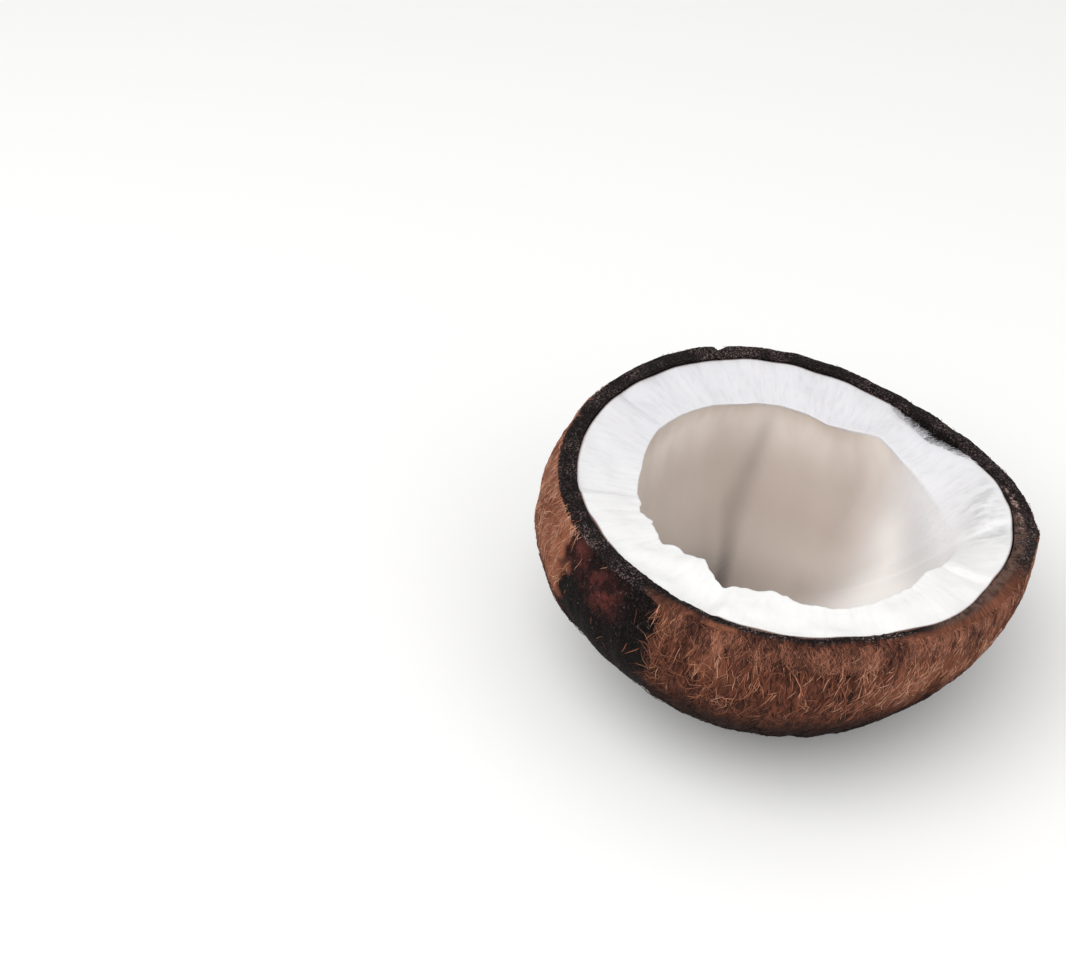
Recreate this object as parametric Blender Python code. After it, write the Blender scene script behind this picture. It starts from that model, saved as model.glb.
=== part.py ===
# Half of a mature brown coconut, cracked across its middle and lying on its round underside, hollow up.
# Two pieces: the woody shell with the husk fibres still matted on it, and the white flesh that lines it.
# Metres, +Z up. The origin is the middle of the bounding box, on the plane that the half rests on.
#
# Both pieces start as a plain turned bowl about the nut's axis, with the cracked edge at height 0.
# The broken faces are then given their relief, the bowl is made uneven as a real nut is, and it is set
# down with its edge leaning a little to the right.

import math

import bmesh
import bpy
from mathutils import Matrix, Vector, noise

# Driving sizes
RIM_RADIUS = 0.0543
BOWL_DEPTH = 0.0480
WALL = 0.0038
MEAT = 0.0132
GAP = 0.0003
LEAN = math.radians(6.4)

# Where the middle of the cracked edge stands, seen from the origin. It is a little lower than the
# bowl is deep, so that the underside is cut to a small flat spot
RIM_CENTRE = Vector((0.00240, 0.00024, 0.0470))

# Mesh fineness
AROUND = 96
SHELL_OUTER_ROWS = 15
SHELL_INNER_ROWS = 12
FLESH_OUTER_ROWS = 12
FLESH_FACE_ROWS = 7
HOLLOW_ROWS = 10

# Unevenness of the nut: (number of lobes, height, angle of a crest in degrees)
GIRTH_LOBES = [(2, 0.00052, 76.0), (3, 0.00086, -3.9), (4, 0.00058, -6.3)]
GIRTH_DENT = {"crest": -14.0, "half_width": 45.0, "depth": 0.0007}
EDGE_WAVES = [(2, 0.00142, 113.9), (3, 0.00048, -12.3)]
BELLY_MEAN = 0.147
BELLY_LEFT = 0.097
BELLY_CREST = 175.0
BELLY_DENTS = [
    {"crest": -36.0, "half_width": 50.0, "depth": 0.018},
    {"crest": 222.0, "half_width": 42.0, "depth": 0.016},
]
UNDERSIDE_SHIFT = Vector((0.0021, -0.0011, 0.0))
POLE_SHIFT = Vector((-0.0100, 0.0008, 0.0))

# Shell: the wall is thicker on the right and at the back, and thinner in front. Its cracked edge has
# a bevel, a notch and a broken stretch
WALL_CHANGES = [
    {"crest": -8.0, "half_width": 60.0, "extra": 0.0014},
    {"crest": 258.0, "half_width": 34.0, "extra": -0.0012},
    {"crest": 300.0, "half_width": 24.0, "extra": -0.0017},
    {"crest": 110.0, "half_width": 60.0, "extra": 0.0009},
]
EDGE_BEVEL_IN = 0.0005
EDGE_NOTCH = {"crest": 104.0, "half_width": 2.6, "depth": 0.0016}
EDGE_BREAK = {"crest": -46.0, "half_width": 22.0, "depth": 0.0015}
EDGE_ROUGHNESS = 0.00045
HUSK_RIDGE = 0.00045
HUSK_CLUMP = 0.00050

# Flesh: radius and height of the lip round the hollow, before its chips
LIP_RADIUS = 0.0376
LIP_NEAR = 0.0012
LIP_OVAL = 0.0013
LIP_DROP = 0.0022
LIP_FALL_AWAY = 0.0021
HOLLOW_DEPTH = BOWL_DEPTH - WALL - MEAT
HOLLOW_LOBES = [(3, 0.0006, 35.0), (5, 0.0004, 100.0), (7, 0.0003, 60.0)]

# The chips die out down the hollow's wall within about this share of its depth
CHIPS_FADE = 0.16

# Chips in the lip: (crest in degrees, half width in degrees, change of radius, change of height)
LIP_CHIPS = [
    (102.0, 44.0, -0.0026, -0.0007),
    (70.0, 18.0, -0.0028, -0.0004),
    (49.0, 11.0, 0.0007, 0.0014),
    (150.0, 56.0, -0.0005, 0.0000),
    (170.0, 26.0, -0.0013, 0.0000),
    (312.0, 9.0, -0.0008, 0.0004),
]

# Straight bites along the near side of the lip: (from and to in degrees, change of radius at each end)
LIP_BITES = [
    (190.0, 197.0, -0.0002, 0.0005),
    (197.0, 203.0, -0.0001, -0.0013),
    (203.0, 217.0, -0.0009, 0.0002),
    (217.0, 231.0, -0.0017, -0.0034),
    (231.0, 242.5, -0.0034, 0.0014),
    (242.5, 255.0, 0.0004, -0.0016),
    (255.0, 261.5, -0.0015, -0.0005),
    (261.5, 277.0, 0.0005, 0.0022),
    (277.0, 302.0, 0.0020, 0.0004),
]
BITE_STEP = 1.2

# The stretch on the right where a piece has broken off and the face runs down into the hollow
BROKEN_SLOPE = {"crest": 0.0, "half_width": 46.0, "drop": 0.0062, "slack": 0.75}

# The stretch at the back where the flesh has come away from the shell
PARTED = {"crest": 39.0, "half_width": 15.0, "depth": 0.0030, "width": 0.24}
SUNK_EDGES = [
    {"crest": 50.0, "half_width": 44.0, "depth": 0.0015},
    {"crest": 108.0, "half_width": 56.0, "depth": 0.0013},
]

# Facets of the broken face: it falls from the start angle to the end angle, then steps back up
FACETS = [
    (203.0, 242.0, 0.0018),
    (246.0, 284.0, 0.0007),
    (292.0, 321.0, 0.0010),
    (326.0, 351.0, 0.0013),
    (108.0, 141.0, 0.0006),
    (148.0, 186.0, 0.0008),
]
FACET_STEP = 3.0
FACE_ROUGHNESS = 0.00055


def clear_scene():
    for obj in list(bpy.data.objects):
        bpy.data.objects.remove(obj)


def material(name, colour, roughness):
    made = bpy.data.materials.new(name)
    made.use_nodes = True
    shader = made.node_tree.nodes["Principled BSDF"]
    shader.inputs["Base Color"].default_value = (*colour, 1.0)
    shader.inputs["Roughness"].default_value = roughness
    shader.inputs["Metallic"].default_value = 0.0
    return made


# Small functions of the angle round the nut


def lobes(angle, terms):
    return sum(
        height * math.cos(count * (angle - math.radians(crest))) for count, height, crest in terms
    )


def degrees_from(angle, crest):
    return (math.degrees(angle) - crest + 180.0) % 360.0 - 180.0


def chip(angle, crest, half_width):
    # 1 at the crest, falling straight to 0 at half_width either side
    return max(0.0, 1.0 - abs(degrees_from(angle, crest)) / half_width)


def swell(angle, crest, half_width):
    # The same, but rounded at the crest and at both ends
    share = chip(angle, crest, half_width)
    return share * share * (3.0 - 2.0 * share)


def window(angle, start, end, ease):
    # 1 between two angles, easing to 0 outside them
    share = (0.5 * (end - start) + ease - abs(degrees_from(angle, 0.5 * (start + end)))) / ease
    share = min(1.0, max(0.0, share))
    return share * share * (3.0 - 2.0 * share)


def facet(angle, start, end):
    # 0 at the start, 1 at the end, then back to 0 within one short step
    past = degrees_from(angle, start)
    length = end - start
    if past < 0.0 or past > length + FACET_STEP:
        return 0.0
    if past <= length:
        return past / length
    return 1.0 - (past - length) / FACET_STEP


# The plain bowl made uneven, and set down


def uneven(radius, height, angle):
    # Moves a point of the plain bowl to its place in the real nut, still about the nut's own axis
    depth = min(1.0, max(0.0, -height / BOWL_DEPTH))
    level = math.sqrt(1.0 - depth * depth)
    belly = BELLY_MEAN + BELLY_LEFT * math.cos(angle - math.radians(BELLY_CREST))
    for dent in BELLY_DENTS:
        belly -= dent["depth"] * swell(angle, dent["crest"], dent["half_width"])
    wider = lobes(angle, GIRTH_LOBES)
    wider -= GIRTH_DENT["depth"] * swell(angle, GIRTH_DENT["crest"], GIRTH_DENT["half_width"])
    girth = (1.0 + wider / RIM_RADIUS) * (1.0 + 2.0 * belly * depth * level)
    place = Vector((math.cos(angle), math.sin(angle), 0.0)) * (radius * girth)
    place += UNDERSIDE_SHIFT * depth + POLE_SHIFT * depth**10
    place.z = height + lobes(angle, EDGE_WAVES) * level**4
    return place


def set_down(place):
    return Matrix.Rotation(LEAN, 3, "Y") @ place + RIM_CENTRE


def wall_change(angle, depth_angle):
    # How much nearer the axis the shell's inner wall stands than the plain bowl's, most at the edge
    change = sum(
        spot["extra"] * swell(angle, spot["crest"], spot["half_width"]) for spot in WALL_CHANGES
    )
    return change * math.cos(depth_angle)


def turned(stations, around):
    # Spins a chain of (radius, height) round Z. Each vertex keeps its row, counted along the chain
    bowl = bmesh.new()
    rows = bowl.verts.layers.int.new("row")
    chain = []
    for row, (radius, height) in enumerate(stations):
        vert = bowl.verts.new((radius, 0.0, height))
        vert[rows] = row
        chain.append(vert)
    links = [bowl.edges.new(pair) for pair in zip(chain, chain[1:])]
    bmesh.ops.spin(
        bowl,
        geom=chain + links,
        cent=(0.0, 0.0, 0.0),
        axis=(0.0, 0.0, 1.0),
        angle=2.0 * math.pi,
        steps=around,
        use_merge=True,
    )
    bmesh.ops.remove_doubles(bowl, verts=bowl.verts, dist=1e-6)
    bmesh.ops.recalc_face_normals(bowl, faces=bowl.faces)
    return bowl, rows


def quarter(rows, first, last):
    # Angles down a bowl's wall, from the cracked edge at 0 to the underside at a quarter turn
    return [0.5 * math.pi * (first + (last - first) * row / rows) for row in range(rows + 1)]


def finished(name, bowl, look):
    bmesh.ops.triangulate(bowl, faces=bowl.faces)
    mesh = bpy.data.meshes.new(name)
    bowl.to_mesh(mesh)
    bowl.free()
    mesh.shade_smooth()
    mesh.set_sharp_from_angle(angle=math.radians(40.0))
    mesh.materials.append(look)
    obj = bpy.data.objects.new(name, mesh)
    bpy.context.scene.collection.objects.link(obj)
    return obj


# Shell


def husk_relief(angle, depth_angle):
    # Ridges of fibre that run from the cracked edge to the underside, and broader clumps
    fade = math.cos(depth_angle) ** 0.5
    across = Vector((math.cos(angle), math.sin(angle), 0.0))
    ridges = noise.noise(across * 11.0 + Vector((0.0, 0.0, depth_angle * 1.3)))
    clumps = noise.noise(across * 4.0 + Vector((7.0, 3.0, depth_angle * 3.0)))
    return fade * (HUSK_RIDGE * ridges + HUSK_CLUMP * clumps)


def edge_relief(angle, outer):
    # How far the shell's cracked edge stands above or below the plain one. outer is 1 at its outside
    round_edge = Vector((math.cos(angle), math.sin(angle), 0.3 * outer)) * 9.0
    height = EDGE_ROUGHNESS * noise.noise(round_edge)
    height -= EDGE_NOTCH["depth"] * chip(angle, EDGE_NOTCH["crest"], EDGE_NOTCH["half_width"])
    height -= outer * EDGE_BREAK["depth"] * swell(angle, EDGE_BREAK["crest"], EDGE_BREAK["half_width"])
    return height


def make_shell(look):
    outer = quarter(SHELL_OUTER_ROWS, 0.022, 1.0)
    inner = quarter(SHELL_INNER_ROWS, 0.0, 1.0)
    inner_radius = RIM_RADIUS - WALL
    inner_depth = BOWL_DEPTH - WALL
    stations = [(RIM_RADIUS * math.cos(a), -BOWL_DEPTH * math.sin(a)) for a in reversed(outer)]
    first_edge_row = len(stations)
    stations.append((RIM_RADIUS - EDGE_BEVEL_IN, 0.0))
    stations.append((RIM_RADIUS - 0.5 * (WALL + EDGE_BEVEL_IN), 0.0))
    first_inner_row = len(stations)
    stations += [(inner_radius * math.cos(a), -inner_depth * math.sin(a)) for a in inner]
    stations[0] = (0.0, -BOWL_DEPTH)
    stations[-1] = (0.0, -inner_depth)
    bowl, rows = turned(stations, AROUND)
    for vert in bowl.verts:
        row = vert[rows]
        radius, height = stations[row]
        angle = math.atan2(vert.co.y, vert.co.x)
        if row < first_edge_row:
            depth_angle = outer[first_edge_row - 1 - row]
            radius += husk_relief(angle, depth_angle) * (radius > 0.0)
            height += edge_relief(angle, 1.0) * math.cos(depth_angle) ** 8
        elif row < first_inner_row:
            share = (inner_radius + WALL - EDGE_BEVEL_IN - radius) / (WALL - EDGE_BEVEL_IN)
            height += edge_relief(angle, 1.0 - share)
            radius -= wall_change(angle, 0.0) * share
        else:
            depth_angle = inner[row - first_inner_row]
            radius -= wall_change(angle, depth_angle) * (radius > 0.0)
            height += edge_relief(angle, 0.0) * math.cos(depth_angle) ** 8
        vert.co = set_down(uneven(max(radius, 0.0), height, angle))
    flatten_underside(bowl)
    return finished("shell", bowl, look)


def flatten_underside(bowl):
    # Cuts the small flat spot that the half rests on, at height 0, and closes it
    everything = list(bowl.verts) + list(bowl.edges) + list(bowl.faces)
    cut = bmesh.ops.bisect_plane(
        bowl, geom=everything, plane_co=(0.0, 0.0, 0.0), plane_no=(0.0, 0.0, -1.0), clear_outer=True
    )
    ring = [part for part in cut["geom_cut"] if isinstance(part, bmesh.types.BMEdge)]
    bmesh.ops.contextual_create(bowl, geom=ring)
    bmesh.ops.recalc_face_normals(bowl, faces=bowl.faces)


# Flesh


def slope_share(angle):
    return swell(angle, BROKEN_SLOPE["crest"], BROKEN_SLOPE["half_width"])


def plain_lip(angle):
    return LIP_RADIUS - LIP_NEAR * math.sin(angle) - LIP_OVAL * math.cos(2.0 * angle)


def bites(angle):
    # Straight from one end of a bite to the other, with a short step to the next one
    change = 0.0
    total = 0.0
    for start, end, first, last in LIP_BITES:
        share = min(1.0, max(0.0, degrees_from(angle, start) / (end - start)))
        weight = window(angle, start, end, BITE_STEP)
        change += (first + (last - first) * share) * weight
        total += weight
    return change / max(total, 1.0)


def lip(angle):
    # Radius and height of the edge between the broken face and the hollow
    radius = plain_lip(angle) + bites(angle)
    height = -LIP_DROP - LIP_FALL_AWAY * math.sin(angle)
    for crest, half_width, wider, higher in LIP_CHIPS:
        share = chip(angle, crest, half_width)
        radius += wider * share
        height += higher * share
    height -= BROKEN_SLOPE["drop"] * slope_share(angle)
    return radius, height


def face_height(angle, share):
    # Height of the broken face. share is 0 at the shell and 1 at the lip
    sunk = sum(spot["depth"] * swell(angle, spot["crest"], spot["half_width"]) for spot in SUNK_EDGES)
    bend = 1.0 + 0.9 * slope_share(angle)
    height = -sunk * (1.0 - share) + lip(angle)[1] * share**bend
    parted = swell(angle, PARTED["crest"], PARTED["half_width"]) * max(0.0, 1.0 - share / PARTED["width"])
    height -= PARTED["depth"] * parted
    inside = math.sin(math.pi * min(1.0, 0.15 + 0.85 * share))
    for start, end, drop in FACETS:
        height -= drop * facet(angle, start, end) * (0.35 + 0.65 * inside)
    where = Vector((math.cos(angle), math.sin(angle), 0.0)) * (7.0 - 2.4 * share)
    return height + FACE_ROUGHNESS * noise.noise(where + Vector((0.0, 0.0, 1.7)))


def hollow_point(angle, depth_angle):
    # A point of the hollow's smooth wall, from the lip down to the bottom
    down = math.sin(depth_angle)
    slack = BROKEN_SLOPE["slack"] * slope_share(angle)
    round_share = math.cos(depth_angle)
    straight_share = 1.0 - depth_angle / (0.5 * math.pi)
    wall_radius = plain_lip(angle)
    wall_radius += (lip(angle)[0] - wall_radius) * math.exp(-down / CHIPS_FADE)
    radius = wall_radius * ((1.0 - slack) * round_share + slack * straight_share)
    radius += lobes(angle, HOLLOW_LOBES) * math.sin(2.0 * depth_angle)
    top = face_height(angle, 1.0)
    return max(radius, 0.0), top * (1.0 - down) - HOLLOW_DEPTH * down


def make_flesh(look):
    outer = quarter(FLESH_OUTER_ROWS, 0.06, 1.0)
    hollow = quarter(HOLLOW_ROWS, 0.0, 1.0)
    outer_radius = RIM_RADIUS - WALL - GAP
    outer_depth = BOWL_DEPTH - WALL - GAP
    stations = [(outer_radius * math.cos(a), -outer_depth * math.sin(a)) for a in reversed(outer)]
    first_face_row = len(stations)
    shares = [row / FLESH_FACE_ROWS for row in range(FLESH_FACE_ROWS)]
    stations += [(outer_radius + (LIP_RADIUS - outer_radius) * share, 0.0) for share in shares]
    first_hollow_row = len(stations)
    stations += [(LIP_RADIUS * math.cos(a), -HOLLOW_DEPTH * math.sin(a)) for a in hollow]
    stations[0] = (0.0, -outer_depth)
    stations[-1] = (0.0, -HOLLOW_DEPTH)
    bowl, rows = turned(stations, AROUND)
    for vert in bowl.verts:
        row = vert[rows]
        radius, height = stations[row]
        angle = math.atan2(vert.co.y, vert.co.x)
        edge_radius = outer_radius - wall_change(angle, 0.0)
        if row < first_face_row:
            depth_angle = outer[first_face_row - 1 - row]
            radius -= wall_change(angle, depth_angle) * (radius > 0.0)
            height = min(height, face_height(angle, 0.0) - 0.0008)
            radius = min(radius, edge_radius * math.sqrt(max(0.0, 1.0 - (height / outer_depth) ** 2)))
        elif row < first_hollow_row:
            share = shares[row - first_face_row]
            height = face_height(angle, share)
            radius = edge_radius + (lip(angle)[0] - edge_radius) * share
            if share == 0.0:
                radius = edge_radius * math.sqrt(max(0.0, 1.0 - (min(height, 0.0) / outer_depth) ** 2))
        else:
            radius, height = hollow_point(angle, hollow[row - first_hollow_row])
        vert.co = set_down(uneven(max(radius, 0.0), height, angle))
    return finished("flesh", bowl, look)


clear_scene()
make_shell(material("husk and shell", (0.150, 0.070, 0.045), 0.85))
make_flesh(material("white flesh", (0.860, 0.845, 0.830), 0.45))
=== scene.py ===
import math

import bmesh
import bpy
import numpy as np
from mathutils import Matrix, Vector, noise


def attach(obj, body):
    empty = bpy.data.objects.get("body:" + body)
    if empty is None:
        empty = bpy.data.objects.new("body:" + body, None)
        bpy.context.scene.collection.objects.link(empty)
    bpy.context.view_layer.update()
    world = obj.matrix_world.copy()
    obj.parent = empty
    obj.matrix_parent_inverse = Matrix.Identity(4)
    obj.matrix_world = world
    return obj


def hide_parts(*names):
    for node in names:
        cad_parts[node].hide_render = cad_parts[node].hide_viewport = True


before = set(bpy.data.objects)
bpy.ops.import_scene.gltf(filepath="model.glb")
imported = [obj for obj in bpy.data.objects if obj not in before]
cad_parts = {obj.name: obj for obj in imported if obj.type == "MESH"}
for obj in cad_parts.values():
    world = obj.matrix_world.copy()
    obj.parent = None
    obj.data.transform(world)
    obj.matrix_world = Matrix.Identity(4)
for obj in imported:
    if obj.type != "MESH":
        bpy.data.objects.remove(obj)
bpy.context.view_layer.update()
mm = 0.001


# The nut's form, the same as the solids have

nut = {
    "rimRadius": 54.3 * mm,
    "depth": 48.0 * mm,
    "wall": 3.8 * mm,
    "meat": 13.2 * mm,
    "gap": 0.3 * mm,
    "lean": math.radians(6.4),
    "rimCentre": Vector((2.40 * mm, 0.24 * mm, 47.0 * mm)),
    "girthLobes": [(2, 0.52 * mm, 76.0), (3, 0.86 * mm, -3.9), (4, 0.58 * mm, -6.3)],
    "girthDent": (-14.0, 45.0, 0.7 * mm),
    "edgeWaves": [(2, 1.42 * mm, 113.9), (3, 0.48 * mm, -12.3)],
    "waveFade": 14.0 * mm,          # the waves die out this close to the middle
    "bellyMean": 0.147,
    "bellyLeft": 0.097,
    "bellyCrest": 175.0,
    "bellyDents": [(-36.0, 50.0, 0.018), (222.0, 42.0, 0.016)],
    "undersideShift": (2.1 * mm, -1.1 * mm),
    "poleShift": (-10.0 * mm, 0.8 * mm),
    "wallChanges": [(-8.0, 60.0, 1.4 * mm), (258.0, 34.0, -1.2 * mm), (300.0, 24.0, -1.7 * mm),
                    (110.0, 60.0, 0.9 * mm)],
}


def degreesFrom(angle, crest):
    return (np.degrees(angle) - crest + 180.0) % 360.0 - 180.0


def peak(angle, crest, halfWidth):
    return np.clip(1.0 - np.abs(degreesFrom(angle, crest)) / halfWidth, 0.0, 1.0)


def smooth(share):
    share = np.clip(share, 0.0, 1.0)
    return share * share * (3.0 - 2.0 * share)


def swell(angle, crest, halfWidth):
    return smooth(peak(angle, crest, halfWidth))


def window(angle, start, end, ease=8.0):
    # 1 between two angles, easing to 0 outside them
    middle = 0.5 * (start + end)
    return smooth((0.5 * (end - start) + ease - np.abs(degreesFrom(angle, middle))) / ease)


def within(angle, span):
    return window(angle, span["from"], span["to"], span["ease"])


def lobes(angle, terms):
    return sum(height * np.cos(count * (angle - math.radians(crest))) for count, height, crest in terms)


def grit(points):
    # Blender's own noise at each row of an array
    return np.array([noise.noise(Vector(point)) for point in points])


def ridges(points, octaves=4):
    return np.array([noise.turbulence(Vector(point), octaves, True) for point in points])


def roundAbout(angle, across, along, third=0.0):
    # Noise coordinates that close on themselves round the nut
    return np.stack([np.cos(angle) * across, np.sin(angle) * across, along + third + 0.0 * angle], axis=1)


def wallChange(angle, depthAngle):
    change = sum(extra * swell(angle, crest, halfWidth) for crest, halfWidth, extra in nut["wallChanges"])
    return change * np.cos(depthAngle)


def uneven(radius, height, angle):
    depth = np.clip(-height / nut["depth"], 0.0, 1.0)
    level = np.sqrt(1.0 - depth * depth)
    belly = nut["bellyMean"] + nut["bellyLeft"] * np.cos(angle - math.radians(nut["bellyCrest"]))
    for crest, halfWidth, dent in nut["bellyDents"]:
        belly = belly - dent * swell(angle, crest, halfWidth)
    crest, halfWidth, dent = nut["girthDent"]
    wider = lobes(angle, nut["girthLobes"]) - dent * swell(angle, crest, halfWidth)
    girth = (1.0 + wider / nut["rimRadius"]) * (1.0 + 2.0 * belly * depth * level)
    place = np.stack([np.cos(angle) * radius * girth, np.sin(angle) * radius * girth, height], axis=1)
    for axis in (0, 1):
        place[:, axis] += nut["undersideShift"][axis] * depth + nut["poleShift"][axis] * depth**10
    place[:, 2] += lobes(angle, nut["edgeWaves"]) * level**4 * smooth(radius / nut["waveFade"])
    return place


def setDown(place):
    turn = np.array(Matrix.Rotation(nut["lean"], 3, "Y"))
    return place @ turn.T + np.array(nut["rimCentre"])


# Making a piece: a chain of points is spun round, then each point is moved to its place


def spunBowl(stations, around):
    bowl = bmesh.new()
    rowLayer = bowl.verts.layers.int.new("row")
    chain = []
    for row, (radius, height) in enumerate(stations):
        vert = bowl.verts.new((radius, 0.0, height))
        vert[rowLayer] = row
        chain.append(vert)
    links = [bowl.edges.new(pair) for pair in zip(chain, chain[1:])]
    bmesh.ops.spin(bowl, geom=chain + links, cent=(0, 0, 0), axis=(0, 0, 1), angle=2 * math.pi,
                   steps=around, use_merge=True)
    bmesh.ops.remove_doubles(bowl, verts=bowl.verts, dist=1e-7)
    bmesh.ops.recalc_face_normals(bowl, faces=bowl.faces)
    rows = np.array([vert[rowLayer] for vert in bowl.verts])
    return bowl, rows


def quarter(count, first, last, crowd=1.0):
    # Angles from the cracked edge to the underside. crowd over 1 packs them near the edge
    shares = np.linspace(0.0, 1.0, count + 1) ** crowd
    return 0.5 * math.pi * (first + (last - first) * shares)


def placeVerts(bowl, places):
    for vert, place in zip(bowl.verts, places):
        vert.co = place


def addPiece(name, mesh, material):
    piece = bpy.data.objects.new(name, mesh)
    bpy.context.scene.collection.objects.link(piece)
    mesh.materials.append(material)
    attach(piece, "root")
    return piece


def addPaint(mesh, name, channels):
    layer = mesh.attributes.new(name, "FLOAT_COLOR", "POINT")
    paint = np.ones((len(mesh.vertices), 4), np.float32)
    for index, values in enumerate(channels):
        paint[:, index] = values
    layer.data.foreach_set("color", paint.ravel())


def addGrain(mesh, vectors):
    layer = mesh.attributes.new("grain", "FLOAT_VECTOR", "POINT")
    layer.data.foreach_set("vector", np.asarray(vectors, np.float32).ravel())


# Helpers for the materials


def newMaterial(name):
    made = bpy.data.materials.new(name)
    made.use_nodes = True
    tree = made.node_tree
    return made, tree, tree.nodes["Principled BSDF"]


def addNode(tree, kind, settings=None, **links):
    node = tree.nodes.new(kind)
    for key, value in (settings or {}).items():
        if hasattr(node, key):
            setattr(node, key, value)
        else:
            node.inputs[key].default_value = value
    for key, source in links.items():
        tree.links.new(source, node.inputs[key.replace("_", " ")])
    return node


def mixColours(tree, share, first, second):
    node = tree.nodes.new("ShaderNodeMix")
    node.data_type = "RGBA"
    node.clamp_factor = True
    for socket, source in ((node.inputs[0], share), (node.inputs[6], first), (node.inputs[7], second)):
        if isinstance(source, (int, float)):
            socket.default_value = source
        elif isinstance(source, tuple):
            socket.default_value = (*source, 1.0)
        else:
            tree.links.new(source, socket)
    return node.outputs[2]


def calculate(tree, operation, *values):
    node = tree.nodes.new("ShaderNodeMath")
    node.operation = operation
    for socket, source in zip(node.inputs, values):
        if isinstance(source, (int, float)):
            socket.default_value = source
        else:
            tree.links.new(source, socket)
    return node.outputs[0]


def times(tree, first, second):
    return calculate(tree, "MULTIPLY", first, second)


def addBump(tree, shader, height, strength, distance):
    bump = addNode(tree, "ShaderNodeBump", {"Strength": strength, "Distance": distance}, Height=height)
    tree.links.new(bump.outputs[0], shader.inputs["Normal"])


def rampOf(tree, source, low, high):
    node = tree.nodes.new("ShaderNodeMapRange")
    node.interpolation_type = "SMOOTHSTEP"
    node.inputs["From Min"].default_value = low
    node.inputs["From Max"].default_value = high
    tree.links.new(source, node.inputs["Value"])
    return node.outputs["Result"]


def grainNoise(tree, scale, detail=3.0, roughness=0.6, stretch=(1, 1, 1), source="grain"):
    if source == "object":
        where = tree.nodes.new("ShaderNodeTexCoord").outputs["Object"]
    else:
        where = addNode(tree, "ShaderNodeAttribute", {"attribute_name": source}).outputs["Vector"]
    placed = addNode(tree, "ShaderNodeMapping", {"Scale": stretch}, Vector=where)
    made = addNode(tree, "ShaderNodeTexNoise", {"Scale": scale, "Detail": detail, "Roughness": roughness},
                   Vector=placed.outputs[0])
    return made.outputs["Fac"]


def paintOf(tree, name):
    source = addNode(tree, "ShaderNodeAttribute", {"attribute_name": name})
    split = addNode(tree, "ShaderNodeSeparateColor", Color=source.outputs["Color"])
    return split.outputs


def srgb(red, green, blue):
    def linear(value):
        value /= 255.0
        return value / 12.92 if value <= 0.04045 else ((value + 0.055) / 1.055) ** 2.4
    return linear(red), linear(green), linear(blue)


# The flesh

flesh = {
    "around": 640,
    "outerRows": 12,
    "faceRows": 50,
    "hollowRows": 64,
    "lipRadius": 37.6 * mm,
    "lipNear": 1.2 * mm,
    "lipOval": 1.3 * mm,
    "lipDrop": 2.2 * mm,
    "lipFallAway": 2.1 * mm,
    "hollowLobes": [(3, 0.6 * mm, 35.0), (5, 0.4 * mm, 100.0), (7, 0.3 * mm, 60.0)],
    # crest and half width in degrees, change of radius, change of height
    "lipChips": [
        (102.0, 44.0, -2.6 * mm, -0.7 * mm),
        (70.0, 18.0, -2.8 * mm, -0.4 * mm),
        (49.0, 11.0, 0.7 * mm, 1.4 * mm),
        (150.0, 56.0, -0.5 * mm, 0.0),
        (170.0, 26.0, -1.3 * mm, 0.0),
        (312.0, 9.0, -0.8 * mm, 0.4 * mm),
    ],
    # straight bites in the near edge: from and to in degrees, change of radius at each end
    "lipBites": [
        (190.0, 197.0, -0.2 * mm, 0.5 * mm),
        (197.0, 203.0, -0.1 * mm, -1.3 * mm),
        (203.0, 217.0, -0.9 * mm, 0.2 * mm),
        (217.0, 231.0, -1.7 * mm, -3.4 * mm),
        (231.0, 242.5, -3.4 * mm, 1.4 * mm),
        (242.5, 255.0, 0.4 * mm, -1.6 * mm),
        (255.0, 261.5, -1.5 * mm, -0.5 * mm),
        (261.5, 277.0, 0.5 * mm, 2.2 * mm),
        (277.0, 302.0, 2.0 * mm, 0.4 * mm),
    ],
    "slope": {"crest": 0.0, "halfWidth": 46.0, "drop": 6.2 * mm, "slack": 0.75},
    "parted": {"crest": 39.0, "halfWidth": 15.0, "depth": 3.0 * mm, "width": 0.24,
               "shadeCrest": 42.0, "shadeHalfWidth": 16.0, "shadeWidth": 0.36, "shadeStrength": 2.2},
    "sunkEdges": [(50.0, 44.0, 1.5 * mm), (108.0, 56.0, 1.3 * mm)],
    "facets": [
        (203.0, 242.0, 1.8 * mm),
        (246.0, 284.0, 0.7 * mm),
        (292.0, 321.0, 1.0 * mm),
        (326.0, 351.0, 1.3 * mm),
        (108.0, 141.0, 0.6 * mm),
        (148.0, 186.0, 0.8 * mm),
    ],
    "facetStep": 3.0,
    "faceRoughness": 0.55 * mm,
    # fine relief
    "scallops": 0.45 * mm,
    "scallopSpan": (192.0, 302.0),
    "striae": 0.06 * mm,
    "tearOut": 0.12 * mm,
    "chipsFade": 0.16,
    "partedRagged": 1.1 * mm,
    # the hollow: a soft crease from front to back, with painted shade in and beside it, and the pale stretch
    # on the right, partly the whiter broken slope and partly painted light
    "crease": {"across": -11.2 * mm, "slant": 0.26, "width": 2.6 * mm, "depth": 0.5 * mm,
               "wander": 2.0 * mm, "strength": 0.82,
               "shadeAside": 3.5 * mm, "shadeWidth": 8.0 * mm, "shadeStrength": 0.58},
    "swells": 1.0 * mm,
    "pale": {"from": 2.5 * mm, "to": 22.5 * mm, "toRight": 0.86, "toFront": 0.53, "wander": 2.0 * mm},
    # how dark the painted shade on the front of the hollow's floor is, and how much painted light makes its
    # left side and its bottom lighter
    "frontFloor": {"width": 12.0 * mm, "strength": 0.26},
    "lighterLeft": {"from": -6.0 * mm, "over": 26.0 * mm, "strength": 0.46},
    "lighterBottom": {"from": 0.80, "over": 0.16, "strength": 0.18},
    "greyStreaks": {"from": -12.0, "to": 9.0, "ease": 8.0, "strength": 0.6},
}


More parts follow.
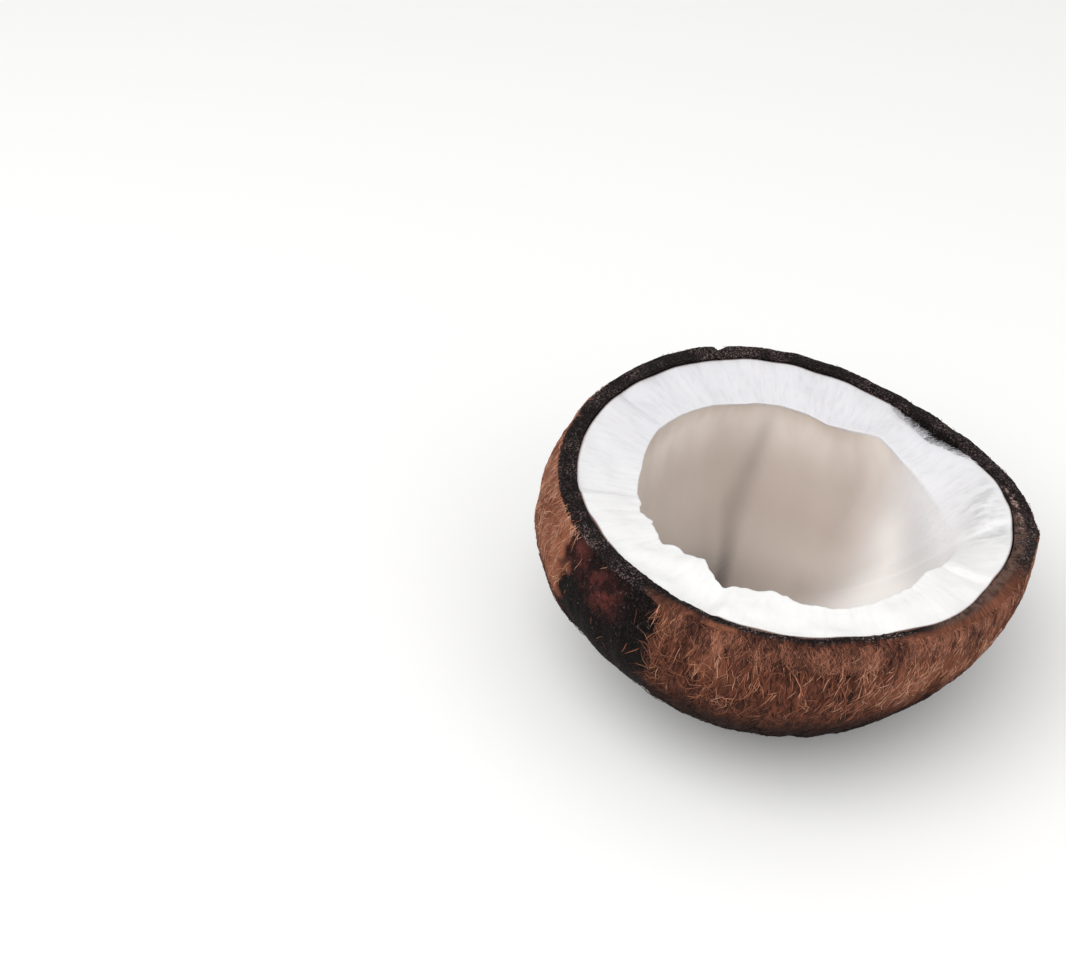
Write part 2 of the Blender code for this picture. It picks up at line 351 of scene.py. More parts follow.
def facetShare(angle, start, end):
    past = degreesFrom(angle, start)
    length = end - start
    rise = np.clip(past / length, 0.0, 1.0)
    fall = np.clip((past - length) / flesh["facetStep"], 0.0, 1.0)
    return np.where(past < 0.0, 0.0, rise - fall)


def slopeShare(angle):
    return swell(angle, flesh["slope"]["crest"], flesh["slope"]["halfWidth"])


def jagged(angle, count, seed):
    # Cusps and scallops, from 0 to about 1
    return 1.0 - 2.2 * np.abs(grit(roundAbout(angle, count, seed)))


def plainLip(angle):
    return flesh["lipRadius"] - flesh["lipNear"] * np.sin(angle) - flesh["lipOval"] * np.cos(2.0 * angle)


def bites(angle):
    # Straight from one end of a bite to the other, with a short step to the next one
    change, total = 0.0, 1e-9
    for start, end, first, last in flesh["lipBites"]:
        share = np.clip(degreesFrom(angle, start) / (end - start), 0.0, 1.0)
        weight = window(angle, start, end, 1.2)
        change = change + (first + (last - first) * share) * weight
        total = total + weight
    return change / np.maximum(total, 1.0)


def lipOf(angle):
    radius = plainLip(angle) + bites(angle)
    height = -flesh["lipDrop"] - flesh["lipFallAway"] * np.sin(angle)
    for crest, halfWidth, wider, higher in flesh["lipChips"]:
        share = peak(angle, crest, halfWidth)
        radius = radius + wider * share
        height = height + higher * share
    height = height - flesh["slope"]["drop"] * slopeShare(angle)
    rough = 0.16 + 0.84 * window(angle, *flesh["scallopSpan"])
    radius = radius + flesh["scallops"] * rough * (jagged(angle, 19.0, 3.0) - 0.6)
    height = height + 0.8 * flesh["scallops"] * rough * (jagged(angle, 9.0, 14.0) - 0.5)
    return radius, height


def partedShare(angle, share):
    # 1 where the flesh has come clean away from the shell
    gone = flesh["parted"]
    broad = grit(roundAbout(angle, 22.0, 0.0, 4.0))
    fine = grit(roundAbout(angle, 70.0, 0.0, 9.0))
    ragged = 1.0 + 0.45 * broad + 0.35 * fine
    near = np.clip(1.0 - share / (gone["width"] * ragged), 0.0, 1.0)
    return near * swell(angle, gone["crest"], gone["halfWidth"])


def partedShade(angle, share):
    # the shade in the gap, which fades out over the torn fuzz beside it
    gone = flesh["parted"]
    near = np.clip(1.0 - share / gone["shadeWidth"], 0.0, 1.0)
    return smooth(near * swell(angle, gone["shadeCrest"], gone["shadeHalfWidth"]) * gone["shadeStrength"])


def faceHeight(angle, share, lipHeight):
    sunk = sum(depth * swell(angle, crest, halfWidth) for crest, halfWidth, depth in flesh["sunkEdges"])
    bend = 1.0 + 0.9 * slopeShare(angle)
    height = -sunk * (1.0 - share) + lipHeight * share**bend
    torn = partedShare(angle, share)
    height = height - flesh["parted"]["depth"] * torn
    tatters = np.abs(grit(roundAbout(angle, 60.0, 6.0 * share)))
    height = height - flesh["partedRagged"] * np.sin(math.pi * torn) * tatters
    inside = np.sin(math.pi * np.minimum(1.0, 0.15 + 0.85 * share))
    for start, end, drop in flesh["facets"]:
        height = height - drop * facetShare(angle, start, end) * (0.35 + 0.65 * inside)
    where = roundAbout(angle, 1.0, 0.0) * (7.0 - 2.4 * share)[:, None] + np.array([0.0, 0.0, 1.7])
    height = height + flesh["faceRoughness"] * grit(where)
    # the torn flesh: fine ribs that run from the shell to the hollow, and shallow scoops
    ribs = grit(roundAbout(angle, 40.0, 0.8 * share)) + 0.6 * grit(roundAbout(angle, 95.0, 1.6 * share, 5.0))
    scoops = ridges(roundAbout(angle, 8.0, 1.9 * share, 8.0), 2)
    edges = smooth(share / 0.06) * smooth((1.02 - share) / 0.10)
    return height + (flesh["striae"] * ribs - flesh["tearOut"] * (scoops - 0.5)) * (0.35 + 0.65 * edges)


def makeFlesh(material):
    outer = quarter(flesh["outerRows"], 0.06, 1.0)
    hollow = quarter(flesh["hollowRows"], 0.0, 1.0, crowd=1.25)
    shares = np.linspace(0.0, 1.0, flesh["faceRows"] + 1)[:-1]
    outerRadius = nut["rimRadius"] - nut["wall"] - nut["gap"]
    outerDepth = nut["depth"] - nut["wall"] - nut["gap"]
    hollowDepth = nut["depth"] - nut["wall"] - nut["meat"]
    stations = [(outerRadius * math.cos(a), -outerDepth * math.sin(a)) for a in outer[::-1]]
    firstFace = len(stations)
    stations += [(outerRadius + (flesh["lipRadius"] - outerRadius) * share, 0.0) for share in shares]
    firstHollow = len(stations)
    stations += [(flesh["lipRadius"] * math.cos(a), -hollowDepth * math.sin(a)) for a in hollow]
    stations[0] = (0.0, -outerDepth)
    stations[-1] = (0.0, -hollowDepth)
    bowl, rows = spunBowl(stations, flesh["around"])
    flat = np.array([vert.co[:] for vert in bowl.verts])
    angle = np.arctan2(flat[:, 1], flat[:, 0])
    radius = np.hypot(flat[:, 0], flat[:, 1])
    height = flat[:, 2].copy()
    lipRadius, lipHeight = lipOf(angle)
    edgeRadius = outerRadius - wallChange(angle, 0.0)

    def onWall(level):
        return edgeRadius * np.sqrt(np.clip(1.0 - (np.minimum(level, 0.0) / outerDepth) ** 2, 0.0, 1.0))

    # outside, hidden against the shell
    isOuter = rows < firstFace
    outerAngle = outer[::-1][np.clip(rows, 0, len(outer) - 1)]
    topEdge = faceHeight(angle, np.zeros_like(angle), lipHeight)
    outRadius = np.where(radius > 1e-9, radius - wallChange(angle, outerAngle), 0.0)
    outHeight = np.minimum(height, topEdge - 0.6 * mm)
    outRadius = np.minimum(outRadius, onWall(outHeight))
    # the torn face
    isFace = (rows >= firstFace) & (rows < firstHollow)
    share = shares[np.clip(rows - firstFace, 0, len(shares) - 1)]
    tornHeight = faceHeight(angle, share, lipHeight)
    tornRadius = np.where(share > 0.0, edgeRadius + (lipRadius - edgeRadius) * share, onWall(tornHeight))
    # the hollow
    isHollow = rows >= firstHollow
    deep = hollow[np.clip(rows - firstHollow, 0, len(hollow) - 1)]
    slack = flesh["slope"]["slack"] * slopeShare(angle)
    chipsFade = np.exp(-np.sin(deep) / flesh["chipsFade"])
    wallRadius = plainLip(angle) + (lipRadius - plainLip(angle)) * chipsFade
    inRadius = wallRadius * ((1.0 - slack) * np.cos(deep) + slack * (1.0 - deep / (0.5 * math.pi)))
    inRadius = np.maximum(inRadius + lobes(angle, flesh["hollowLobes"]) * np.sin(2.0 * deep), 0.0)
    lipTop = faceHeight(angle, np.ones_like(angle), lipHeight)
    inHeight = lipTop * (1.0 - np.sin(deep)) - hollowDepth * np.sin(deep)
    floorSpot = np.stack([inRadius * np.cos(angle), inRadius * np.sin(angle), inHeight], axis=1)
    line = flesh["crease"]
    across = floorSpot[:, 0] - line["across"] - line["slant"] * floorSpot[:, 1]
    across = across - line["wander"] * grit(floorSpot * 60.0)
    crease = np.exp(-((across / line["width"]) ** 2)) * smooth(np.sin(deep) / 0.4)
    swells = grit(floorSpot * 62.0 + np.array([3.0, 0.0, 0.0]))
    inHeight = inHeight - line["depth"] * crease + flesh["swells"] * swells * np.sin(deep) ** 2
    radius = np.select([isOuter, isFace], [outRadius, tornRadius], inRadius)
    height = np.select([isOuter, isFace], [outHeight, tornHeight], inHeight)
    placeVerts(bowl, setDown(uneven(np.maximum(radius, 0.0), height, angle)))

    # the lip is a little rounded, and has worn away where the piece broke off
    bowl.verts.ensure_lookup_table()
    fromLip = np.abs(rows - firstHollow)
    onSlope = slopeShare(angle) > 0.12
    for near, times in ((fromLip <= 1, 2), ((fromLip <= (11)) & onSlope, 16)):
        rounded = [bowl.verts[i] for i in np.flatnonzero(near)]
        for _ in range(times):
            bmesh.ops.smooth_vert(bowl, verts=rounded, factor=0.5,
                                  use_axis_x=True, use_axis_y=True, use_axis_z=True)
    bmesh.ops.triangulate(bowl, faces=bowl.faces)
    mesh = bpy.data.meshes.new("flesh_body")
    bowl.to_mesh(mesh)
    bowl.free()
    mesh.shade_smooth()
    # the pale stretch on the right of the hollow: partly the whiter broken slope, partly painted light
    pale = flesh["pale"]
    rightward = pale["toRight"] * floorSpot[:, 0] - pale["toFront"] * floorSpot[:, 1]
    rightward = rightward + pale["wander"] * grit(floorSpot * 90.0)
    paleShare = smooth((rightward - pale["from"]) / (pale["to"] - pale["from"]))
    inHollow = np.where(isHollow, smooth((np.sin(deep) - 0.006) / 0.05), 0.0)
    inHollow = inHollow * (1.0 - slopeShare(angle) ** 0.5 * smooth((0.62 - np.sin(deep)) / 0.5))
    skin = np.where(isOuter, 1.0, np.where(isFace, smooth((0.035 - share) / 0.035), 0.0))
    # grey streaks on the right slope
    greyStreaks = flesh["greyStreaks"]["strength"] * within(angle, flesh["greyStreaks"])
    greyStreaks = greyStreaks * smooth(share / 0.2) * smooth((0.95 - share) / 0.4)
    # at the parted gap the grey streaks are painted shade
    greyStreaks = np.maximum(greyStreaks, smooth(1.3 * partedShare(angle, share))) * isFace
    # painted shade in the crease and beside it, strongest near the front
    toFront = smooth((26.0 * mm - floorSpot[:, 1]) / (30.0 * mm))
    paintedShade = line["strength"] * crease * (0.35 + 0.65 * toFront)
    beside = (across + line["shadeAside"]) / line["shadeWidth"]
    belowLip = smooth(np.sin(deep) / 0.4)
    paintedShade = np.maximum(paintedShade, line["shadeStrength"] * toFront * np.exp(-(beside**2)) * belowLip)
    # painted shade on the front of the hollow's floor, under the near lip
    front = flesh["frontFloor"]
    onFloor = front["strength"] * smooth(1.0 - floorSpot[:, 1] / front["width"]) * belowLip
    paintedShade = paintedShade + onFloor * (1.0 - paleShare)
    addPaint(mesh, "fleshPaint", [inHollow, skin, np.where(isHollow, paintedShade, greyStreaks)])
    # painted shade, partly the hollow's own deeper beige: darker down the hollow, though painted light makes
    # it less so on the left and at the bottom
    left, bottom = flesh["lighterLeft"], flesh["lighterBottom"]
    paintedLight = left["strength"] * smooth((left["from"] - floorSpot[:, 0]) / left["over"])
    paintedLight = paintedLight + bottom["strength"] * smooth((np.sin(deep) - bottom["from"]) / bottom["over"])
    down = np.clip(smooth((np.sin(deep) - 0.06) / 0.56) - paintedLight, 0.0, 1.0)
    gapShade = partedShade(angle, share) * (0.75 + 0.6 * grit(roundAbout(angle, 80.0, 26.0 * share, 3.0)))
    # share of the front, for the painted light on the torn face
    toNear = 0.5 - 0.5 * np.sin(angle)
    addPaint(mesh, "fleshPlace", [paleShare * isHollow, toNear, np.where(isHollow, down, gapShade * isFace)])
    faceGrain = roundAbout(angle, 1.0, share * 1.3)
    addGrain(mesh, np.where(isHollow[:, None], floorSpot / flesh["lipRadius"], faceGrain))
    return addPiece("flesh_body", mesh, material)


fleshLook = {
    # the torn face: painted light at the front, painted shade at the back
    "tornNearLit": srgb(241, 240, 238),
    "tornFarShaded": srgb(224, 223, 226),
    "rib": srgb(202, 201, 204),
    "greyStreaks": srgb(188, 188, 190),
    # painted shade in the gap where the flesh has parted
    "parted": srgb(112, 107, 112),
    # the hollow from its top down: partly its own deeper beige, partly painted shade
    "hollowTop": srgb(243, 234, 225),
    "hollowLow": srgb(176, 161, 151),
    "hollowShade": srgb(172, 158, 148),
    "hollowPale": srgb(243, 239, 236),
    # painted shade in and beside the crease and on the front of the floor
    "crease": srgb(62, 52, 45),
    "skin": srgb(96, 66, 56),
    "roughness": 0.42,
    "scatter": 0.12,
    "scatterRadius": (1.0, 0.75, 0.6),
    "scatterScale": 2.2 * mm,
}


def makeFleshMaterial():
    made, tree, shader = newMaterial("coconutFlesh")
    paint = paintOf(tree, "fleshPaint")
    place = paintOf(tree, "fleshPlace")
    # the torn face: painted light makes it whiter at the front and painted shade greyer at the back, with
    # faint ribs that run in to the hollow
    toNear = rampOf(tree, place["Green"], 0.15, 0.9)
    torn = mixColours(tree, toNear, fleshLook["tornFarShaded"], fleshLook["tornNearLit"])
    ribs = rampOf(tree, grainNoise(tree, 40.0, 3.0, 0.6, (1, 1, 0.06)), 0.42, 0.80)
    ribShare = times(tree, ribs, calculate(tree, "MULTIPLY_ADD", place["Green"], -0.38, 0.52))
    torn = mixColours(tree, ribShare, torn, fleshLook["rib"])
    streaks = rampOf(tree, grainNoise(tree, 16.0, 3.0, 0.6, (1, 1, 0.10)), 0.40, 0.60)
    # grey streaks on the right slope, and painted shade at the parted gap
    torn = mixColours(tree, times(tree, paint["Blue"], streaks), torn, fleshLook["greyStreaks"])
    # painted shade in the gap where the flesh has parted, fading over the torn fuzz beside it
    torn = mixColours(tree, times(tree, place["Blue"], 0.85), torn, fleshLook["parted"])
    # the hollow: smooth, with soft bands, and darker down it with painted shade, partly its own deeper beige
    bands = rampOf(tree, grainNoise(tree, 2.9, 3.0, 0.5, (1.5, 0.45, 0.45)), 0.30, 0.70)
    hollow = mixColours(tree, place["Blue"], fleshLook["hollowTop"], fleshLook["hollowLow"])
    hollow = mixColours(tree, times(tree, bands, 0.42), hollow, fleshLook["hollowShade"])
    # painted shade in the crease, beside it and on the front of the floor
    hollow = mixColours(tree, times(tree, paint["Blue"], 0.85), hollow, fleshLook["crease"])
    # the pale stretch on the right: partly the whiter broken slope, partly painted light
    hollow = mixColours(tree, place["Red"], hollow, fleshLook["hollowPale"])
    colour = mixColours(tree, paint["Red"], torn, hollow)
    flecks = grainNoise(tree, 60.0, 2.0, 0.5, (1, 1, 0.5))
    skinShare = times(tree, paint["Green"], rampOf(tree, flecks, 0.16, 0.40))
    colour = mixColours(tree, skinShare, colour, fleshLook["skin"])
    tree.links.new(colour, shader.inputs["Base Color"])
    wet = rampOf(tree, grainNoise(tree, 420.0, 3.0, 0.6, source="object"), 0.2, 0.8)
    rough = calculate(tree, "MULTIPLY_ADD", wet, 0.16, fleshLook["roughness"] - 0.08)
    tree.links.new(rough, shader.inputs["Roughness"])
    shader.inputs["Subsurface Weight"].default_value = fleshLook["scatter"]
    shader.inputs["Subsurface Radius"].default_value = fleshLook["scatterRadius"]
    shader.inputs["Subsurface Scale"].default_value = fleshLook["scatterScale"]
    shader.inputs["Specular IOR Level"].default_value = 0.42
    tornShare = calculate(tree, "SUBTRACT", 1.0, paint["Red"])
    fine = grainNoise(tree, 1500.0, 3.0, 0.6, source="object")
    lines = grainNoise(tree, 75.0, 3.0, 0.6, (1, 1, 0.05))
    relief = calculate(tree, "MULTIPLY_ADD", lines, 1.3, fine)
    relief = times(tree, relief, calculate(tree, "MULTIPLY_ADD", tornShare, 0.85, 0.15))
    addBump(tree, shader, relief, 0.30, 0.10 * mm)
    return made


fleshPiece = makeFlesh(makeFleshMaterial())
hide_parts("flesh")
print("flesh:", len(fleshPiece.data.polygons), "triangles")


# The shell: woody wall, its cracked edge, and the matted husk outside

shell = {
    "around": 560,
    "outerRows": 108,
    "edgeRows": 10,
    "innerRows": 20,
    "bevelIn": 0.5 * mm,
    "notch": (104.0, 2.2, 1.6 * mm),
    "broken": [(-46.0, 22.0, 1.5 * mm), (-8.0, 26.0, 0.4 * mm)],
    "edgeRoughness": 0.40 * mm,
    "huskRidge": 0.35 * mm,
    "huskClump": 0.35 * mm,
    "bundles": 0.24 * mm,
    "threads": 0.14 * mm,
    "pits": 0.22 * mm,
    "chips": 0.30 * mm,
    "huskSunk": 0.35 * mm,
    # the stretch on the left where the husk is rubbed off the dark shell; its near-black is partly painted
    # shadow
    "bareAndShadowed": {"from": 203.0, "to": 231.0, "ragged": 5.0, "depth": 0.45 * mm},
    # rusty blotches in it: angle, angle down from the edge and half width
    "rust": [(217.0, math.radians(8.0), 9.0), (206.0, math.radians(5.0), 7.0)],
    # the front, where the husk comes up over the outer part of the edge
    "overEdge": {"from": 236.0, "to": 327.0, "ease": 10.0, "drop": 0.6 * mm},
    # tone of the husk, and its lighter stretches, partly bleached husk and partly painted light, or darker
    # ones, painted shade, where the fourth value is below 0:
    # from, to and ease in degrees, how much, and how far down (sine of the depth)
    "tone": 0.60,
    "tonePatches": 0.18,
    "bleachedAndLit": [
        (152.0, 198.0, 18.0, 0.50, 1.0),
        (228.0, 240.0, 6.0, -0.20, 1.2),
        (232.0, 248.0, 5.0, 0.28, 0.26),
        (254.0, 284.0, 8.0, -0.10, 0.26),
        (290.0, 360.0, 22.0, 0.13, 1.0),
    ],
    # painted shade: the husk darker towards the underside
    "shaded": {"from": 0.28, "over": 0.28, "strength": 0.95},
    # the lighter stretch of the edge on the right, partly the broken shell's own colour and partly painted
    # light, and the pale streak in it
    "brokenAndLit": {"from": 304.0, "to": 350.0, "ease": 12.0},
    "darkOuterEdge": {"from": 333.0, "to": 360.0, "ease": 8.0, "strength": 0.9},
    "streak": {"from": -8.0, "to": 8.0, "ease": 3.0},
}


def bareShare(angle, depthAngle):
    bareAndShadowed = shell["bareAndShadowed"]
    ragged = grit(roundAbout(angle, 4.0, 5.0 * depthAngle, 2.0))
    ragged = ragged + 0.9 * grit(roundAbout(angle, 17.0, 17.0 * depthAngle, 5.0))
    return window(angle + np.radians(bareAndShadowed["ragged"] * ragged), bareAndShadowed["from"], bareAndShadowed["to"], 3.0)


def overEdgeShare(angle, outside):
    return within(angle, shell["overEdge"]) * smooth((outside - 0.35) / 0.35)


def edgeDrop(angle, outside):
    # How far the cracked edge has broken down
    crest, halfWidth, depth = shell["notch"]
    drop = depth * peak(angle, crest, halfWidth)
    for crest, halfWidth, depth in shell["broken"]:
        drop = drop + outside * depth * swell(angle, crest, halfWidth)
    return drop + shell["overEdge"]["drop"] * overEdgeShare(angle, outside)


def edgeRelief(angle, outside):
    where = np.stack([np.cos(angle), np.sin(angle), 0.3 * outside], axis=1) * 9.0
    height = shell["edgeRoughness"] * grit(where) - edgeDrop(angle, outside)
    chips = ridges(roundAbout(angle, 24.0, 1.5 * outside))
    chips = chips + 0.5 * grit(roundAbout(angle, 70.0, 3.0 * outside))
    return height - shell["chips"] * (chips - 0.4)


def huskRelief(angle, depthAngle):
    fade = np.sqrt(np.maximum(np.cos(depthAngle), 0.0))
    around = np.stack([np.cos(angle), np.sin(angle)], axis=1)
    plain = np.concatenate([around * 11.0, (depthAngle * 1.3)[:, None]], axis=1)
    clumps = np.concatenate([around * 4.0 + np.array([7.0, 3.0]), (depthAngle * 3.0)[:, None]], axis=1)
    relief = fade * (shell["huskRidge"] * grit(plain) + shell["huskClump"] * grit(clumps))
    wander = 0.10 * grit(roundAbout(angle, 3.0, 3.0 * depthAngle, 4.0))
    bundles = np.abs(grit(roundAbout(angle + wander, 27.0, 2.1 * depthAngle, 1.0)))
    threads = np.abs(grit(roundAbout(angle + 1.6 * wander, 64.0, 4.5 * depthAngle, 6.0)))
    pits = smooth(grit(roundAbout(angle + wander, 16.0, 5.5 * depthAngle, 11.0)) * 2.2 - 0.5)
    relief = relief + (0.35 + 0.65 * fade) * (
        shell["bundles"] * (0.25 - bundles) + shell["threads"] * (0.2 - threads) - shell["pits"] * pits)
    sunk = shell["huskSunk"] * smooth(np.sin(depthAngle) / 0.4) * fade
    return relief - sunk - shell["bareAndShadowed"]["depth"] * bareShare(angle, depthAngle)


def fromHusk(angle, depthAngle, relief, lift):
    # A point of the outside of the husk, and lift beyond it
    outX = np.cos(depthAngle) / nut["rimRadius"]
    outZ = np.sin(depthAngle) / nut["depth"]
    length = np.hypot(outX, outZ)
    radius = nut["rimRadius"] * np.cos(depthAngle) + relief + lift * outX / length
    drop = edgeDrop(angle, 1.0) * np.cos(depthAngle) ** 8
    height = -nut["depth"] * np.sin(depthAngle) - drop - lift * outZ / length
    return setDown(uneven(radius, height, angle))


def huskTone(angle, depthAngle):
    # From 0, dark with painted shade on the underside, to 1 where it is bleached or painted lighter
    ragged = angle + 0.14 * grit(roundAbout(angle, 4.0, 4.0 * depthAngle, 7.0))
    ragged = ragged + 0.10 * grit(roundAbout(angle, 18.0, 9.0 * depthAngle, 2.0))
    tone = shell["tone"] + shell["tonePatches"] * grit(roundAbout(angle, 5.0, 5.0 * depthAngle, 8.0))
    for start, end, ease, extra, reach in shell["bleachedAndLit"]:
        fade = smooth(np.sin(depthAngle) / reach - 0.3)
        tone = tone + extra * window(ragged, start, end, ease) * (1.0 - fade)
    shaded = smooth((np.sin(depthAngle) - shell["shaded"]["from"]) / shell["shaded"]["over"])
    return np.clip(tone, 0.0, 1.0) * (1.0 - shell["shaded"]["strength"] * shaded)


def makeShell(materials):
    outer = quarter(shell["outerRows"], 0.012, 1.0)
    inner = quarter(shell["innerRows"], 0.0, 1.0, crowd=1.5)
    innerRadius = nut["rimRadius"] - nut["wall"]
    innerDepth = nut["depth"] - nut["wall"]
    stations = [(nut["rimRadius"] * math.cos(a), -nut["depth"] * math.sin(a)) for a in outer[::-1]]
    firstEdge = len(stations)
    edge = np.linspace(0.0, 1.0, shell["edgeRows"] + 1)[:-1]
    edgeStart = nut["rimRadius"] - shell["bevelIn"]
    stations += [(edgeStart - (nut["wall"] - shell["bevelIn"]) * share, 0.0) for share in edge]
    firstInner = len(stations)
    stations += [(innerRadius * math.cos(a), -innerDepth * math.sin(a)) for a in inner]
    stations[0] = (0.0, -nut["depth"])
    stations[-1] = (0.0, -innerDepth)
    bowl, rows = spunBowl(stations, shell["around"])
    flat = np.array([vert.co[:] for vert in bowl.verts])
    angle = np.arctan2(flat[:, 1], flat[:, 0])
    radius = np.hypot(flat[:, 0], flat[:, 1])
    height = flat[:, 2].copy()
    isOuter = rows < firstEdge
    isEdge = (rows >= firstEdge) & (rows < firstInner)
    outerAngle = outer[::-1][np.clip(rows, 0, len(outer) - 1)]
    innerAngle = inner[np.clip(rows - firstInner, 0, len(inner) - 1)]
    edgeShare = edge[np.clip(rows - firstEdge, 0, len(edge) - 1)]
    off = radius > 1e-9
    outRadius = radius + huskRelief(angle, outerAngle) * off
    outHeight = height + edgeRelief(angle, np.ones_like(angle)) * np.cos(outerAngle) ** 8
    midRadius = radius - wallChange(angle, 0.0) * edgeShare
    midHeight = height + edgeRelief(angle, 1.0 - edgeShare)
    inRadius = radius - wallChange(angle, innerAngle) * off
    inHeight = height + edgeRelief(angle, np.zeros_like(angle)) * np.cos(innerAngle) ** 8
    radius = np.select([isOuter, isEdge], [outRadius, midRadius], inRadius)
    height = np.select([isOuter, isEdge], [outHeight, midHeight], inHeight)
    places = setDown(uneven(np.maximum(radius, 0.0), height, angle))
    places[:, 2] = np.maximum(places[:, 2], 0.0)          # the flat spot
    placeVerts(bowl, places)
    rowLayer = bowl.verts.layers.int["row"]
    for face in bowl.faces:
        lowest = min(vert[rowLayer] for vert in face.verts)
        face.material_index = 0 if lowest < firstEdge - 1 else 1
    bmesh.ops.triangulate(bowl, faces=bowl.faces)
    mesh = bpy.data.meshes.new("shell_and_husk")
    bowl.to_mesh(mesh)
    bowl.free()
    mesh.shade_smooth()
    depthAngle = np.where(isOuter, outerAngle, np.where(isEdge, 0.0, innerAngle))
    outside = np.where(isEdge, 1.0 - edgeShare, np.where(isOuter, 1.0, 0.0))
    # painted light, partly the broken shell's own colour: the lighter stretch of the edge on the right, kept
    # dark on its outer part towards 360 degrees
    brokenLitShare = within(angle, shell["brokenAndLit"])
    darkShare = shell["darkOuterEdge"]["strength"] * within(angle, shell["darkOuterEdge"])
    brokenLitShare = brokenLitShare * (1.0 - darkShare * smooth((outside - 0.40) / 0.25))
    streakShare = within(angle, shell["streak"]) * isEdge
    streakShare = streakShare * smooth((0.55 - outside) / 0.2) * smooth((outside - 0.12) / 0.12)
    rust = 0.0
    for crest, depth, halfWidth in shell["rust"]:
        near = smooth(1.0 - np.abs(depthAngle - depth) / math.radians(halfWidth))
        rust = rust + swell(angle, crest, halfWidth) * near
    streakShare = np.where(isOuter, rust, streakShare)
    addPaint(mesh, "shellPaint", [brokenLitShare, outside, huskTone(angle, depthAngle)])
    addPaint(mesh, "shellPlace", [bareShare(angle, depthAngle), streakShare, overEdgeShare(angle, outside)])
    addGrain(mesh, roundAbout(angle, 1.0, depthAngle - 0.07 * np.where(isEdge, edgeShare, 0.0)))
    piece = addPiece("shell_and_husk", mesh, materials[0])
    mesh.materials.append(materials[1])
    return piece


huskLook = {
    "gap": srgb(34, 19, 15),
    "mid": srgb(104, 59, 44),
    "high": srgb(160, 101, 76),
    # the bare shell, near-black, partly painted shadow
    "bareAndShadowed": srgb(9, 5, 5),
    "bareRed": srgb(88, 42, 38),
    "bareGrey": srgb(118, 100, 98),
    "wood": srgb(13, 8, 8),
    "woodLight": srgb(150, 128, 124),
    "woodBrokenLit": srgb(100, 76, 66),
    "streak": srgb(186, 152, 144),
    "roughness": 0.9,
}


def huskColours(tree, tone):
    broad = rampOf(tree, grainNoise(tree, 5.0, 3.0, 0.6, (1, 1, 0.5)), 0.3, 0.72)
    threads = rampOf(tree, grainNoise(tree, 60.0, 4.0, 0.7, (1, 1, 0.22)), 0.36, 0.68)
    colour = mixColours(tree, threads, huskLook["gap"], huskLook["mid"])
    bright = rampOf(tree, grainNoise(tree, 120.0, 3.0, 0.7, (1, 1, 0.16)), 0.52, 0.78)
    colour = mixColours(tree, times(tree, bright, broad), colour, huskLook["high"])
    # bleached husk and painted light: high tones towards the high colour
    bleachedAndLit = times(tree, rampOf(tree, tone, 0.5, 1.0), 0.6)
    colour = mixColours(tree, bleachedAndLit, colour, huskLook["high"])
    # painted shade: low tones towards the dark gap colour
    shaded = times(tree, rampOf(tree, tone, 0.5, 0.0), 0.8)
    return mixColours(tree, shaded, colour, huskLook["gap"])


def makeHuskMaterial():
    made, tree, shader = newMaterial("huskMat")
    paint = paintOf(tree, "shellPaint")
    place = paintOf(tree, "shellPlace")
    # where the husk is gone: nearly black shell, partly painted shadow, with rusty blotches and grey specks
    ragged = rampOf(tree, grainNoise(tree, 16.0, 4.0, 0.75, (1, 1, 1)), 0.40, 0.60)
    rust = times(tree, place["Green"], calculate(tree, "MULTIPLY_ADD", ragged, 0.85, 0.15))
    bareAndShadowed = mixColours(tree, rust, huskLook["bareAndShadowed"], huskLook["bareRed"])
    grains = rampOf(tree, grainNoise(tree, 2300.0, 3.0, 0.7, source="object"), 0.50, 0.72)
    bareAndShadowed = mixColours(tree, times(tree, grains, 0.20), bareAndShadowed, huskLook["bareGrey"])
    specks = rampOf(tree, grainNoise(tree, 900.0, 2.0, 0.6, source="object"), 0.66, 0.74)
    bareAndShadowed = mixColours(tree, times(tree, specks, 0.5), bareAndShadowed, huskLook["bareGrey"])
    colour = mixColours(tree, place["Red"], huskColours(tree, paint["Blue"]), bareAndShadowed)
    tree.links.new(colour, shader.inputs["Base Color"])
    shader.inputs["Roughness"].default_value = huskLook["roughness"]
    shader.inputs["Specular IOR Level"].default_value = 0.1
    addBump(tree, shader, grainNoise(tree, 90.0, 4.0, 0.7, (1, 1, 0.25)), 0.8, 0.2 * mm)
    return made


